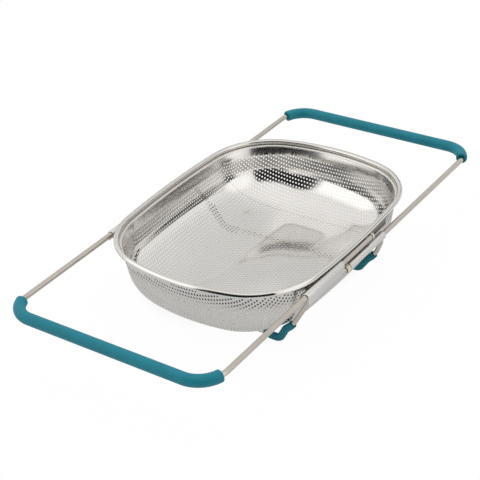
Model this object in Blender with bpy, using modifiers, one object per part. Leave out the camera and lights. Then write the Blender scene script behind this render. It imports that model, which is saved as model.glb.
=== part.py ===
"""Over-the-sink colander: a perforated pressed bowl, two sliding wire handles and two foot wires.

Metres, +Z up. X runs along the handles, from the front handle to the rear one, and Y across the bowl.
The near side is -Y and the far side +Y. The origin is on the table, under the middle of the whole
colander's length.
"""
import math

import bmesh
import bpy
import numpy as np
from mathutils import Matrix, Vector

# Clearances shared by every piece
seat_gap = 0.0003
running_gap = 0.0003
cutter_overrun = 0.002

# Rim outline: a flat arc on each side, a rounder one at each end and a corner arc between them
rim_half_length = 0.1533
rim_half_width = 0.1213
rim_side_radius = 1.0
rim_end_radius = 0.246
rim_corner_radius = 0.077
bead_width = 0.0069
bead_height = 0.005

# Pressed bowl. An inset is measured inwards from the rim's outline.
sheet = 0.0008
bowl_depth = 0.068
flange_inset = 0.0023
lip_inset = 0.0072
lip_bend_radius = 0.0012
band_depth = 0.013
wall_foot_inset = 0.0135
floor_bend_radius = 0.038
side_taper_share = 1.6

# Perforation, drawn coarser than the real one
hole_diameter = 0.0055
hole_pitch = 0.019
hole_margin = 0.008

# Wire handles
rod_diameter = 0.0057
rod_chamfer = 0.0008
rod_chamfer_share = 0.7
handle_bend_radius = 0.0286
front_handle_reach = 0.285
front_bar_distance = 0.2601
rear_bar_distance = 0.2512
front_rod_drop = 0.008
rear_rod_drop = 0.020
rear_rod_gap = 0.0004
grip_diameter = 0.0124
grip_end_setback = 0.020

# Places of the foot wires along the bowl. Every place along X is measured from the middle of the bowl.
front_foot_share = 0.6295
rear_foot_share = 0.3327
front_foot_x = -rim_half_length * front_foot_share
rear_foot_x = rim_half_length * rear_foot_share

# Guides, placed from the foot wires
slide_plate_thickness = 0.0012
slide_plate_height = 0.0085
slide_plate_front_overhang = 0.0065
slide_plate_rear_overhang = 0.009
guide_wall = 0.0009
rolled_guide_length = 0.066
rolled_guide_skirt_drop = 0.0082
rolled_guide_lip_angle = math.radians(212)
tube_guide_diameter = 0.009
tube_guide_length = 0.069
tube_guide_setback = 0.004

# Hanger tabs: how far from the foot wire each strap's two ends are, on the band and on the plate
tab_thickness = 0.0008
tab_height = 0.0065
tab_leg_length = 0.003
front_tab_band_offset = 0.0145
front_tab_plate_offset = 0.004
rear_tab_band_offset = 0.011
rear_tab_plate_offset = 0.001

# Stops on the rod ends
front_stop_diameter = 0.0074
front_stop_length = 0.003
front_stop_setback = 0.001
rear_stop_diameter = 0.008
rear_stop_length = 0.006
rear_rod_tail = 0.0054

# Foot wires. The standoff is the clear space between a wire and the bowl's wall.
foot_wire_diameter = 0.005
rear_foot_lean = 0.0068
foot_wire_top_gap = 0.0006
front_foot_seat_length = 0.0038
rear_foot_seat_length = 0.0026
shoulder_bend_radius = 0.006
elbow_height = 0.032
knee_height = 0.0174
knee_bend_radius = 0.007
foot_standoff = 0.0019
front_toe_lean = 0.0078
rear_toe_lean = 0.0102
toe_bend_radius = 0.007
toe_length = 0.0093
hook_rise = 0.0017
hook_run = 0.008
hook_bend_radius = 0.010

# Silicone sleeves on the feet
sleeve_diameter = 0.008
sleeve_upper_height = 0.0265
sleeve_hook_length = 0.0095
sleeve_flat = 0.0004

# Values that follow from those above
rod_radius = rod_diameter / 2
wire_radius = foot_wire_diameter / 2
sleeve_radius = sleeve_diameter / 2
bowl_x = (front_bar_distance - rear_bar_distance) / 2
toe_z = sleeve_radius - sleeve_flat
crossbar_z = toe_z + hook_rise
floor_z = crossbar_z + wire_radius + seat_gap
bead_z = floor_z + bowl_depth
flange_z = bead_z - bead_height / 2 - seat_gap - sheet
front_rod_z = bead_z - front_rod_drop
rear_rod_z = bead_z - rear_rod_drop
plate_inner_y = rim_half_width - lip_inset + seat_gap
plate_outer_y = plate_inner_y + slide_plate_thickness
front_rod_y = plate_outer_y + seat_gap + guide_wall + running_gap + rod_radius
rear_rod_y = plate_outer_y + rear_rod_gap + rod_radius
plate_bottom_z = rear_rod_z + tube_guide_diameter / 2 + seat_gap
slide_plate_front_x = front_foot_x - slide_plate_front_overhang
slide_plate_rear_x = rear_foot_x + slide_plate_rear_overhang
tube_guide_rear_x = rear_foot_x - tube_guide_setback
tube_guide_front_x = tube_guide_rear_x - tube_guide_length
rear_stop_x = tube_guide_front_x - seat_gap - rear_stop_length
rear_handle_reach = rear_bar_distance - rear_stop_x + rear_rod_tail

# Finish of each kind of piece: colour, metallic, roughness
POLISHED_STEEL = ((0.74, 0.73, 0.71, 1), 1.0, 0.22)
SATIN_STEEL = ((0.66, 0.64, 0.61, 1), 1.0, 0.34)
WIRE_STEEL = ((0.62, 0.59, 0.55, 1), 1.0, 0.28)
TEAL_SILICONE = ((0.030, 0.235, 0.290, 1), 0.0, 0.50)
CREAM_NYLON = ((0.80, 0.75, 0.62, 1), 0.0, 0.45)

SIDE_STEPS = 3
CORNER_STEPS = 6
END_STEPS = 3
BEND_STEPS = 6
WALL_STEPS = 4
ROUND_SIDES = 10
MERGE_DISTANCE = 0.00001


def clear_scene():
    for old in list(bpy.data.objects):
        bpy.data.objects.remove(old, do_unlink=True)


def new_collection(name):
    collection = bpy.data.collections.new(name)
    bpy.context.scene.collection.children.link(collection)
    return collection


def new_piece(name, mesh, collection, finish=None, parent=None):
    """Link a mesh as one named piece, with a Principled material of its own.

    A piece without a parent is drawn round the middle of the bowl, which stands bowl_x along X.
    """
    piece = bpy.data.objects.new(name, mesh)
    collection.objects.link(piece)
    if parent:
        piece.parent = parent
    else:
        piece.location = (bowl_x, 0, 0)
    if finish:
        colour, metallic, roughness = finish
        material = bpy.data.materials.new(name + "_finish")
        material.use_nodes = True
        shader = material.node_tree.nodes["Principled BSDF"]
        shader.inputs["Base Color"].default_value = colour
        shader.inputs["Metallic"].default_value = metallic
        shader.inputs["Roughness"].default_value = roughness
        mesh.materials.append(material)
    return piece


def new_cutter(name, mesh, collection):
    cutter = new_piece(name, mesh, collection)
    cutter.hide_render = True
    cutter.display_type = "WIRE"
    return cutter


def cut_by(piece, cutter):
    cut = piece.modifiers.new("cut", "BOOLEAN")
    cut.operation = "DIFFERENCE"
    cut.solver = "EXACT"
    cut.object = cutter


def give_wall(piece, thickness, offset):
    """Thicken an open surface: offset -1 grows behind its faces and 0 grows to both sides."""
    wall = piece.modifiers.new("wall", "SOLIDIFY")
    wall.thickness = thickness
    wall.offset = offset
    wall.use_even_offset = True


# Outline and section of the bowl


def outline_arcs(inset):
    """Half length, then centre and radius of the side, corner and end arcs, at one inset.

    Below the lip the sides draw in faster than the ends, by side_taper_share. The corner arc is the
    one that touches both its neighbours from the inside.
    """
    side_inset = inset + max(inset - lip_inset, 0) * (side_taper_share - 1)
    half_length = rim_half_length - inset
    half_width = rim_half_width - side_inset
    side_radius = rim_side_radius - inset
    end_radius = rim_end_radius - inset
    corner_radius = rim_corner_radius * half_width / rim_half_width
    side_centre = np.array([0, half_width - side_radius])
    end_centre = np.array([half_length - end_radius, 0])
    to_side = side_radius - corner_radius
    to_end = end_radius - corner_radius
    between = end_centre - side_centre
    distance = np.linalg.norm(between)
    along = (to_side**2 - to_end**2 + distance**2) / (2 * distance)
    across = math.sqrt(max(to_side**2 - along**2, 0))
    unit = between / distance
    corner_centre = side_centre + unit * along + across * np.array([unit[1], -unit[0]])
    return side_centre, side_radius, corner_centre, corner_radius, end_centre, end_radius


def outline(inset):
    """One closed ring of the outline, counter-clockwise, as an array of X and Y."""
    side_centre, side_radius, corner_centre, corner_radius, end_centre, end_radius = outline_arcs(inset)
    side_turn = math.atan2(*(corner_centre - side_centre)[::-1])
    end_turn = math.atan2(*(corner_centre - end_centre)[::-1])

    def arc(centre, radius, start, end, steps):
        angles = np.linspace(start, end, steps + 1)
        return centre + radius * np.stack([np.cos(angles), np.sin(angles)], axis=1)

    quarter = np.concatenate([
        arc(end_centre, end_radius, 0, end_turn, END_STEPS)[:-1],
        arc(corner_centre, corner_radius, end_turn, side_turn, CORNER_STEPS)[:-1],
        arc(side_centre, side_radius, side_turn, math.pi / 2, SIDE_STEPS),
    ])
    half = np.concatenate([quarter, quarter[-2::-1] * (-1, 1)])
    ring = np.concatenate([half, half[-2:0:-1] * (1, -1)])
    return ring


def half_width_at(inset, x):
    """Distance from the long axis to the outline of one inset, at a place along the bowl."""
    side_centre, side_radius, corner_centre, corner_radius, end_centre, end_radius = outline_arcs(inset)
    x = abs(x)
    side_turn = math.atan2(*(corner_centre - side_centre)[::-1])
    end_turn = math.atan2(*(corner_centre - end_centre)[::-1])
    if x <= side_radius * math.cos(side_turn):
        return side_centre[1] + math.sqrt(side_radius**2 - x**2)
    if x <= end_centre[0] + end_radius * math.cos(end_turn):
        return corner_centre[1] + math.sqrt(corner_radius**2 - (x - corner_centre[0]) ** 2)
    return math.sqrt(max(end_radius**2 - (x - end_centre[0]) ** 2, 0))


def wall_section(steps):
    """Inset and height of the bowl's outer face, from the band's foot to the floor's edge.

    A straight wall leans in from the band, and an arc of floor_bend_radius is tangent to it and to the
    floor.
    """
    band_foot = np.array([lip_inset, bead_z - band_depth])
    wall_foot = np.array([wall_foot_inset, floor_z])
    wall = wall_foot - band_foot
    wall = wall / np.linalg.norm(wall)
    turn = math.acos(wall[0])
    setback = floor_bend_radius * math.tan(turn / 2)
    arc_start = wall_foot - wall * setback
    inward = np.array([-wall[1], wall[0]])
    centre = arc_start + inward * floor_bend_radius
    angles = np.linspace(-math.pi / 2 - turn, -math.pi / 2, steps + 1)
    arc = centre + floor_bend_radius * np.stack([np.cos(angles), np.sin(angles)], axis=1)
    return np.concatenate([[band_foot], arc])


def flange_section():
    """Inset and height from the flange's edge over the lip bend to the top of the plain band."""
    bend_centre = np.array([lip_inset - lip_bend_radius, flange_z - lip_bend_radius])
    angles = (math.pi / 2, math.pi / 4, 0)
    bend = [bend_centre + lip_bend_radius * np.array([math.cos(a), math.sin(a)]) for a in angles]
    return np.array([[flange_inset, flange_z]] + bend)


def wall_y_at(x, z):
    """Outer face of the bowl's wall beside a point at height z, as a distance from the long axis."""
    section = wall_section(BEND_STEPS * 2)[::-1]
    inset = np.interp(z, section[:, 1], section[:, 0])
    return half_width_at(float(inset), x)


# Mesh builders


def loft(rings, close_section=False, fill_last=False):
    """Skin rings that all have the same number of points."""
    count = len(rings[0])
    mesh = bpy.data.meshes.new("loft")
    shape = bmesh.new()
    rows = [[shape.verts.new(point) for point in ring] for ring in rings]
    pairs = list(zip(rows, rows[1:]))
    if close_section:
        pairs.append((rows[-1], rows[0]))
    for upper, lower in pairs:
        for i in range(count):
            j = (i + 1) % count
            shape.faces.new((upper[i], lower[i], lower[j], upper[j]))
    if fill_last:
        shape.faces.new(rows[-1][::-1])
    shape.to_mesh(mesh)
    shape.free()
    return mesh


def ring_at(inset, z):
    ring = outline(inset)
    return np.column_stack([ring, np.full(len(ring), z)])


def bent_strip(path, low, high, axis):
    """Open strip: a bent path in one plane, swept from low to high along X or Z."""
    mesh = bpy.data.meshes.new("strip")
    shape = bmesh.new()
    rows = []
    for side in (low, high):
        if axis == "X":
            rows.append([shape.verts.new((side, a, b)) for a, b in path])
        else:
            rows.append([shape.verts.new((a, b, side)) for a, b in path])
    for i in range(len(path) - 1):
        shape.faces.new((rows[0][i], rows[0][i + 1], rows[1][i + 1], rows[1][i]))
    shape.to_mesh(mesh)
    shape.free()
    return mesh


def rounded_path(corners, radii):
    """Round each inner corner of a 3D polyline with an arc of its own radius, or leave it if that is 0."""
    corners = [np.array(corner, dtype=float) for corner in corners]
    points = [corners[0]]
    for before, corner, after, radius in zip(corners, corners[1:], corners[2:], radii):
        if radius == 0:
            points.append(corner)
            continue
        arrive = (corner - before) / np.linalg.norm(corner - before)
        leave = (after - corner) / np.linalg.norm(after - corner)
        turn = math.acos(float(np.clip(arrive @ leave, -1, 1)))
        setback = radius * math.tan(turn / 2)
        start = corner - arrive * setback
        inward = leave - arrive * (arrive @ leave)
        inward = inward / np.linalg.norm(inward)
        steps = max(2, round(BEND_STEPS * turn / (math.pi / 2)))
        for angle in np.linspace(0, turn, steps + 1):
            points.append(start + radius * (math.sin(angle) * arrive + (1 - math.cos(angle)) * inward))
    points.append(corners[-1])
    return np.array(points)


def lengths_along(path):
    return np.concatenate([[0], np.cumsum(np.linalg.norm(np.diff(path, axis=0), axis=1))])


def stretch_of(path, start, end):
    """The part of a path between two distances along it."""
    along = lengths_along(path)
    inner = path[(along > start) & (along < end)]
    ends = [[np.interp(place, along, path[:, k]) for k in range(3)] for place in (start, end)]
    return np.concatenate([[ends[0]], inner, [ends[1]]])


def tube_mesh(path, radius, capped=True, end_shares=None):
    """Round tube along a path, from a bevelled curve made into a mesh with its caps welded."""
    curve = bpy.data.curves.new("tube", "CURVE")
    curve.dimensions = "3D"
    curve.bevel_depth = radius
    curve.bevel_resolution = (ROUND_SIDES - 4) // 2
    curve.use_fill_caps = capped
    spline = curve.splines.new("POLY")
    spline.points.add(len(path) - 1)
    for point, place in zip(spline.points, path):
        point.co = (*place, 1)
    if end_shares:
        spline.points[0].radius = end_shares[0]
        spline.points[-1].radius = end_shares[1]
    drawn = bpy.data.objects.new("tube", curve)
    bpy.context.scene.collection.objects.link(drawn)
    bpy.context.view_layer.update()
    graph = bpy.context.evaluated_depsgraph_get()
    mesh = bpy.data.meshes.new_from_object(drawn.evaluated_get(graph))
    bpy.data.objects.remove(drawn, do_unlink=True)
    bpy.data.curves.remove(curve)
    shape = bmesh.new()
    shape.from_mesh(mesh)
    bmesh.ops.remove_doubles(shape, verts=shape.verts, dist=MERGE_DISTANCE)
    if capped:
        bmesh.ops.recalc_face_normals(shape, faces=shape.faces)
    shape.to_mesh(mesh)
    shape.free()
    mesh.materials.clear()
    mesh.shade_smooth()
    mesh.set_sharp_from_angle(angle=math.radians(50))
    return mesh


def sleeve_piece(name, path, outer_radius, bore_radius, collection, finish, parent=None):
    """Hollow tube along a path: an open tube whose wall grows inwards to the bore."""
    mesh = tube_mesh(path, outer_radius, capped=False)
    piece = new_piece(name, mesh, collection, finish, parent)
    give_wall(piece, (outer_radius - bore_radius) * math.cos(math.pi / ROUND_SIDES), -1)
    return piece


# Pieces of the fixed body


def perforation(collection):
    """Six-sided punches: rings down the wall, each set half a pitch on, and a staggered floor grid."""
    section = wall_section(BEND_STEPS * 2)
    along = np.concatenate([[0], np.cumsum(np.linalg.norm(np.diff(section, axis=0), axis=1))])
    row_pitch = hole_pitch * math.sin(math.radians(60))
    rows = int((along[-1] - hole_margin) // row_pitch)
    first = (along[-1] - hole_margin - rows * row_pitch) / 2 + hole_margin
    places = []
    for row in range(rows + 1):
        distance = first + row * row_pitch
        if distance > along[-1]:
            continue
        inset, z = (float(np.interp(distance, along, section[:, k])) for k in (0, 1))
        ahead = min(distance + sheet, along[-1])
        behind = ahead - sheet
        slope = [float(np.interp(ahead, along, section[:, k]) - np.interp(behind, along, section[:, k]))
                 for k in (0, 1)]
        ring = ring_at(inset, z)
        loop = np.concatenate([ring, ring[:1]])
        around = lengths_along(loop)
        count = 2 * round(around[-1] / hole_pitch / 2)
        for i in range(count):
            place = around[-1] * (i + row % 2 / 2) / count
            point = Vector(np.interp(place, around, loop[:, k]) for k in range(3))
            k = min(int(np.searchsorted(around, place, side="right")), len(ring)) - 1
            edge = Vector(loop[k + 1] - loop[k]).normalized()
            outward = Vector((edge.y, -edge.x, 0))
            normal = outward * -slope[1] + Vector((0, 0, -slope[0]))
            places.append((point, normal.normalized()))
    floor_inset = float(section[-1][0])
    half_length = rim_half_length - floor_inset
    columns = int((half_length - hole_margin) // row_pitch)
    for column in range(-columns, columns + 1):
        x = column * row_pitch
        reach = half_width_at(floor_inset, x) - hole_margin
        shift = (column % 2) * hole_pitch / 2
        for step in range(-int(reach // hole_pitch) - 1, int(reach // hole_pitch) + 2):
            y = step * hole_pitch + shift
            if abs(y) <= reach:
                places.append((Vector((x, y, floor_z)), Vector((0, 0, -1))))
    shape = bmesh.new()
    for point, normal in places:
        turn = normal.to_track_quat("Z", "Y").to_matrix().to_4x4()
        bmesh.ops.create_cone(
            shape, cap_ends=True, segments=6, radius1=hole_diameter / 2, radius2=hole_diameter / 2,
            depth=2 * (sheet + cutter_overrun), matrix=Matrix.Translation(point) @ turn)
    mesh = bpy.data.meshes.new("punches")
    shape.to_mesh(mesh)
    shape.free()
    return new_cutter("punches", mesh, collection)


def bowl_basket(collection, cutters):
    section = np.concatenate([flange_section(), wall_section(BEND_STEPS)])
    mesh = loft([ring_at(inset, z) for inset, z in section], fill_last=True)
    bowl = new_piece("bowl_basket", mesh, collection, POLISHED_STEEL)
    give_wall(bowl, sheet, -1)
    cut_by(bowl, perforation(cutters))
    mesh.shade_smooth()
    mesh.set_sharp_from_angle(angle=math.radians(30))


def rim_ring(collection):
    """Rolled bead: an oval section carried round the rim's outline."""
    angles = np.linspace(0, 2 * math.pi, 10, endpoint=False)
    half = bead_width / 2
    rings = [ring_at(half - half * math.cos(a), bead_z - bead_height / 2 * math.sin(a)) for a in angles]
    mesh = loft(rings, close_section=True)
    mesh.shade_smooth()
    new_piece("rim_ring", mesh, collection, POLISHED_STEEL)


def slide_plate(name, side, collection):
    y = side * (plate_inner_y + plate_outer_y) / 2
    mesh = bent_strip(
        [(y, plate_bottom_z), (y, plate_bottom_z + slide_plate_height)],
        slide_plate_front_x, slide_plate_rear_x, "X")
    give_wall(new_piece(name, mesh, collection, SATIN_STEEL), slide_plate_thickness, 0)


def rolled_guide(name, side, collection):
    """Sheet rolled round the front rod, then let down outside it as a skirt."""
    radius = rod_radius + running_gap + guide_wall / 2
    angles = np.linspace(rolled_guide_lip_angle, 0, ROUND_SIDES)
    path = [(side * (front_rod_y + radius * math.cos(a)), front_rod_z + radius * math.sin(a)) for a in angles]
    path.append((side * (front_rod_y + radius), front_rod_z - rolled_guide_skirt_drop))
    mesh = bent_strip(path, slide_plate_front_x, slide_plate_front_x + rolled_guide_length, "X")
    give_wall(new_piece(name, mesh, collection, SATIN_STEEL), guide_wall, 0)


def tube_guide(name, side, collection):
    y = side * rear_rod_y
    path = np.array([(tube_guide_front_x, y, rear_rod_z), (tube_guide_rear_x, y, rear_rod_z)])
    sleeve_piece(name, path, tube_guide_diameter / 2, rod_radius + running_gap, collection, SATIN_STEEL)


def hanger_tab(name, side, band_x, plate_x, collection):
    """Strap with two bends: one leg lies on the plain band and the other on the slide plate."""
    towards = math.copysign(tab_leg_length, plate_x - band_x)
    off_band = seat_gap + tab_thickness / 2
    path = [
        (band_x, side * (half_width_at(lip_inset, band_x) + off_band)),
        (band_x + towards, side * (half_width_at(lip_inset, band_x + towards) + off_band)),
        (plate_x - towards, side * (plate_inner_y - seat_gap - tab_thickness / 2)),
        (plate_x, side * (plate_inner_y - seat_gap - tab_thickness / 2)),
    ]
    top = plate_bottom_z + slide_plate_height
    mesh = bent_strip(path, top - tab_height, top, "Z")
    give_wall(new_piece(name, mesh, collection, SATIN_STEEL), tab_thickness, 0)


def beside_wall(x, z):
    """Where a foot wire runs beside the bowl's wall, foot_standoff clear of it measured square to it."""
    draw_in = wall_y_at(x, z) - wall_y_at(x, z - sheet)
    return wall_y_at(x, z) + (foot_standoff + wire_radius) * math.hypot(draw_in, sheet) / sheet


def foot_route(x, top, seat_length, toe_lean):
    """Half of a foot wire, from its top end to the middle under the floor.

    It drops from its seat, leans in to the wall, follows it from the elbow down to the knee, bends into
    the toe on the table and rises a little to lie under the floor.
    """
    top_x, top_y, top_z = top
    toe_y = beside_wall(x, knee_height) - toe_lean
    corners = [top, (top_x, top_y, top_z - seat_length)]
    radii = [shoulder_bend_radius]
    for z in np.linspace(elbow_height, knee_height, WALL_STEPS):
        corners.append((x, beside_wall(x, z), z))
        radii.append(0)
    corners += [
        (x, toe_y, toe_z),
        (x, toe_y - toe_length, toe_z),
        (x, toe_y - toe_length - hook_run, crossbar_z),
        (x, 0, crossbar_z),
    ]
    radii[-1] = knee_bend_radius
    radii += [toe_bend_radius, hook_bend_radius, hook_bend_radius]
    return rounded_path(corners, radii)


def foot_wire(end, route, collection):
    half = route[:-1]
    path = np.concatenate([half * (1, -1, 1), half[::-1]])
    new_piece(end + "_foot_wire", tube_mesh(path, wire_radius), collection, WIRE_STEEL)


def foot_sleeves(end, route, collection, cutters):
    """Silicone sleeves on the knees and toes of a wire, cut flat where they stand on the table."""
    along = lengths_along(route)
    start = float(np.interp(-sleeve_upper_height, -route[:, 2], along))
    toe_end = route[route[:, 2] == toe_z][-1]
    stop = float(np.interp(sleeve_hook_length - toe_end[1], -route[:, 1], along))
    for label, side in (("near", -1), ("far", 1)):
        path = stretch_of(route, start, stop) * (1, side, 1)
        name = "foot_sleeve_" + end + "_" + label
        sleeve = sleeve_piece(name, path, sleeve_radius, wire_radius + seat_gap, collection, TEAL_SILICONE)
        low = path.min(axis=0) - sleeve_diameter
        high = path.max(axis=0) + sleeve_diameter
        slab = bmesh.new()
        bmesh.ops.create_cube(slab, size=1)
        bmesh.ops.scale(slab, vec=(high[0] - low[0], high[1] - low[1], sleeve_radius), verts=slab.verts)
        middle = ((low[0] + high[0]) / 2, (low[1] + high[1]) / 2, -sleeve_radius / 2)
        bmesh.ops.translate(slab, vec=middle, verts=slab.verts)
        mesh = bpy.data.meshes.new("table_slab")
        slab.to_mesh(mesh)
        slab.free()
        cut_by(sleeve, new_cutter("table_slab_" + end + "_" + label, mesh, cutters))


def fixed_body(collection, cutters):
    bowl_basket(collection, cutters)
    rim_ring(collection)
    for label, side in (("near", -1), ("far", 1)):
        slide_plate("slide_plate_" + label, side, collection)
        rolled_guide("rolled_guide_" + label, side, collection)
        tube_guide("tube_guide_" + label, side, collection)
        hanger_tab("hanger_tab_front_" + label, side, front_foot_x + front_tab_band_offset,
                   front_foot_x + front_tab_plate_offset, collection)
        hanger_tab("hanger_tab_rear_" + label, side, rear_foot_x + rear_tab_band_offset,
                   rear_foot_x + rear_tab_plate_offset, collection)
    skirt_seat_y = front_rod_y + rod_radius + running_gap - seat_gap - wire_radius
    front_top = (front_foot_x, skirt_seat_y, front_rod_z - rod_radius - foot_wire_top_gap)
    tube_seat_z = rear_rod_z - tube_guide_diameter / 2 - seat_gap
    rear_top = (rear_foot_x - rear_foot_lean, rear_rod_y, tube_seat_z)
    feet = (
        ("front", front_foot_x, front_top, front_foot_seat_length, front_toe_lean),
        ("rear", rear_foot_x, rear_top, rear_foot_seat_length, rear_toe_lean),
    )
    for end, x, top, seat_length, toe_lean in feet:
        route = foot_route(x, top, seat_length, toe_lean)
        foot_wire(end, route, collection)
        foot_sleeves(end, route, collection, cutters)


# Handles, drawn with the bar along Y at the origin and the rods running to +X


def handle_path(rod_y, reach):
    corners = [(reach, -rod_y, 0), (0, -rod_y, 0), (0, rod_y, 0), (reach, rod_y, 0)]
    return rounded_path(corners, (handle_bend_radius, handle_bend_radius))


def handle_rod(name, path, parent, collection):
    chamfer = np.array([rod_chamfer, 0, 0])
    path = np.concatenate([path[:1], path[:1] - chamfer, path[1:-1], path[-1:] - chamfer, path[-1:]])
    mesh = tube_mesh(path, rod_radius, end_shares=(rod_chamfer_share, rod_chamfer_share))
    return new_piece(name, mesh, collection, WIRE_STEEL, parent)


def grip(name, path, parent, collection):
    """Silicone tube on the bar and most of both bends, ending grip_end_setback from the bar's line."""
    along = lengths_along(path)
    half = len(path) // 2
    start = float(np.interp(-grip_end_setback, -path[:half, 0], along[:half]))
    path = stretch_of(path, start, along[-1] - start)
    return sleeve_piece(name, path, grip_diameter / 2, rod_radius + seat_gap, collection, TEAL_SILICONE, parent)


def rod_stops(end, rod_y, first_x, length, diameter, finish, parent, collection):
    """A short collar on each rod, starting first_x from the bar."""
    for label, side in (("near", -1), ("far", 1)):
        path = np.array([(first_x, 0, 0), (first_x + length, 0, 0)]) + (0, side * rod_y, 0)
        name = end + "_stop_" + label
        sleeve_piece(name, path, diameter / 2, rod_radius + seat_gap, collection, finish, parent)


def handle_carrier(name, x, z, collection):
    """Empty on the slide's axis that carries one handle."""
    carrier = bpy.data.objects.new(name, None)
    carrier.location = (x, 0, z)
    collection.objects.link(carrier)
    return carrier


def handles(collection):
    front = handle_carrier("front_handle_slide", bowl_x - front_bar_distance, front_rod_z, collection)
    front_path = handle_path(front_rod_y, front_handle_reach)
    handle_rod("front_handle_rod", front_path, front, collection)
    grip("front_grip", front_path, front, collection)
    front_stop_x = front_handle_reach - front_stop_setback - front_stop_length
    rod_stops("front", front_rod_y, front_stop_x, front_stop_length, front_stop_diameter,
              SATIN_STEEL, front, collection)
    rear = handle_carrier("rear_handle_slide", bowl_x + rear_bar_distance, rear_rod_z, collection)
    rear.rotation_euler = (0, 0, math.pi)
    rear_path = handle_path(rear_rod_y, rear_handle_reach)
    handle_rod("rear_handle_rod", rear_path, rear, collection)
    grip("rear_grip", rear_path, rear, collection)
    first_x = rear_bar_distance - rear_stop_x - rear_stop_length
    rod_stops("rear", -rear_rod_y, first_x, rear_stop_length, rear_stop_diameter, CREAM_NYLON, rear, collection)


def build():
    clear_scene()
    colander = new_collection("over_sink_colander")
    cutters = new_collection("cutters")
    fixed_body(colander, cutters)
    handles(colander)


build()
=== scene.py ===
import math

import bpy
import numpy as np
from mathutils import Matrix, Vector


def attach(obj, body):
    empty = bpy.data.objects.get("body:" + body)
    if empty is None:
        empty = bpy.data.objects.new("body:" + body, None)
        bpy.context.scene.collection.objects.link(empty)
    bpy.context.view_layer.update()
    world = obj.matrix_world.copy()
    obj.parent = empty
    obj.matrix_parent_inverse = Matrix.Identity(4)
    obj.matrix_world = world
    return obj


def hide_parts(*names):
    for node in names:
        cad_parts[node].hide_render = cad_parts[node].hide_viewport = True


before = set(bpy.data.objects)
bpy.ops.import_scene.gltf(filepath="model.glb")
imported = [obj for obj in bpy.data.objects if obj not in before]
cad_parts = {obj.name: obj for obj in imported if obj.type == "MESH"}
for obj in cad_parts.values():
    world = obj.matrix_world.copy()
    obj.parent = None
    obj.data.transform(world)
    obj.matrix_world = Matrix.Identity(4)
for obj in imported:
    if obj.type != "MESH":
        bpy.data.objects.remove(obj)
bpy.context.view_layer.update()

# Camera
# The photograph's view: from the front left corner, above the near side, through a long lens.
CAMERA_PLACE = Vector((-0.93506, -0.68047, 0.76273))
CAMERA_YAW = 37.09
CAMERA_PITCH = 31.84
CAMERA_ROLL = -4.66
CAMERA_LENS = 96.476
SENSOR_WIDTH = 36


def heading(azimuth, elevation):
    """Direction of an azimuth and an elevation in degrees: (cos a cos e, sin a cos e, sin e)."""
    a = math.radians(azimuth)
    e = math.radians(elevation)
    return math.cos(a) * math.cos(e), math.sin(a) * math.cos(e), math.sin(e)


scene = bpy.context.scene
scene.view_settings.view_transform = "Standard"
camera_data = bpy.data.cameras.new("camera")
camera_data.sensor_width = SENSOR_WIDTH
camera_data.lens = CAMERA_LENS
camera_data.clip_end = 50
camera = bpy.data.objects.new("camera", camera_data)
turn = Vector(heading(CAMERA_YAW, -CAMERA_PITCH)).to_track_quat("-Z", "Y").to_matrix().to_4x4()
roll = Matrix.Rotation(math.radians(CAMERA_ROLL), 4, "Z")
camera.matrix_world = Matrix.Translation(CAMERA_PLACE) @ turn @ roll
scene.collection.objects.link(camera)
scene.camera = camera

# Floor
# A wide plain white floor, which the polished metal sees too. It keeps a light contact shadow, and it is
# shaded where it shows only through the holes.
FLOOR_HALF_SIZE = 6
FLOOR_WHITE = 0.9
GLOW_SEEN = 0.97
GLOW_MIRRORED = 0.85
FOOTPRINT = (0.170, 0.125, 0.050, 0.035)
FOOTPRINT_SHADE = 0.37
MIRRORED_OVAL = (0.150, 0.105)
MIRRORED_SHADOW_LEVEL = 0.60


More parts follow.
